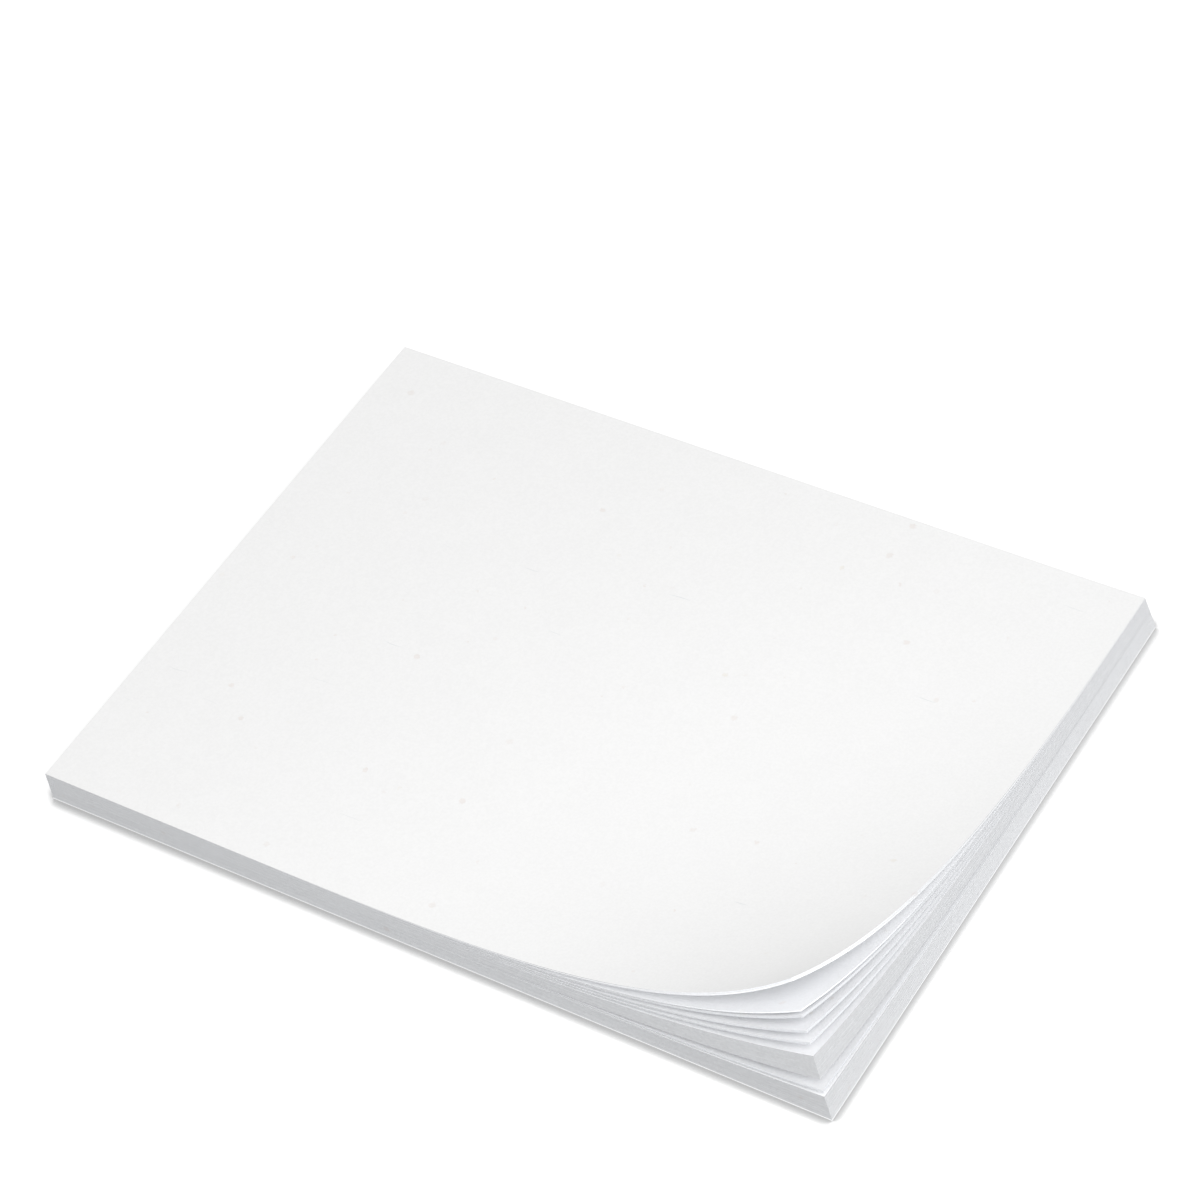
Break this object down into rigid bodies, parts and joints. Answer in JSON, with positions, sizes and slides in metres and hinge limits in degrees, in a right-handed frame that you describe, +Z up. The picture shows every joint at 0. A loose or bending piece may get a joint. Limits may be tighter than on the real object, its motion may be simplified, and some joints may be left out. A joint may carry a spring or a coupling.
{
  "type": "sticky note pad",
  "caption": "Plain rectangular pad of sticky notes on a backing sheet, its front right corner curled up and fanned out.",
  "frame": {"origin": "middle of the pad's underside, on the surface that it lies on", "axes": "+X along the long edge, from the glued short edge to the free one; +Y across the pad to the edge furthest from the curled corner; +Z up, through the stack"},
  "size_m": [0.101, 0.075, 0.0189],
  "materials": {
    "note_paper": "matt recycled paper, off-white, with sparse flecks and fibres",
    "backing_paper": "matt, slightly stiffer white paper"
  },
  "bodies": {
    "root": {"note_sheets": "note_paper", "backing_sheet": "backing_paper"}
  },
  "joints": []
}
